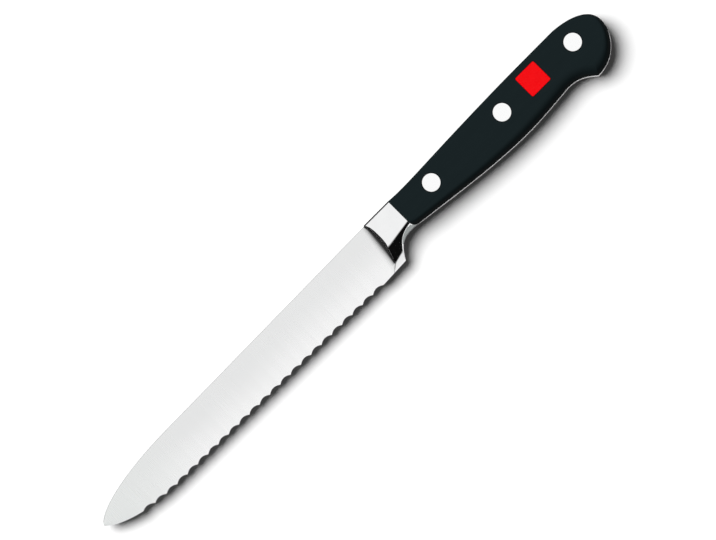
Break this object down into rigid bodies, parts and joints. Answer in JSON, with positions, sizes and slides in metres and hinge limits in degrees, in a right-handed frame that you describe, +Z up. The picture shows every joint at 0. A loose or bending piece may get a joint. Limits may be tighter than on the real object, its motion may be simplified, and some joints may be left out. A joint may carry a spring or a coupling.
{
  "type": "serrated slicing knife",
  "caption": "Slicing knife with a scalloped edge, forged bolster with finger guard, full tang and dark riveted handle scales with a small red inlay.",
  "frame": {"origin": "under the middle of the lying knife's bounding box, on the plane that the lower handle scale rests on", "axes": "+X along the knife from the point to the butt, +Y from the edge to the spine, +Z up out of the pictured side"},
  "size_m": [0.2496, 0.0226, 0.013],
  "materials": {
    "knife_steel": "fine satin grind on the blade, polished bolster",
    "scale_plastic": "smooth satin, slate black",
    "rivet_steel": "bright polished",
    "inlay_red": "smooth gloss"
  },
  "bodies": {
    "root": {"blade_forging": "knife_steel", "near_scale": "scale_plastic", "far_scale": "scale_plastic", "inlay": "inlay_red", "front_rivet_socket": "rivet_steel", "front_rivet_pin": "rivet_steel", "middle_rivet_socket": "rivet_steel", "middle_rivet_pin": "rivet_steel", "rear_rivet_socket": "rivet_steel", "rear_rivet_pin": "rivet_steel"}
  },
  "joints": []
}
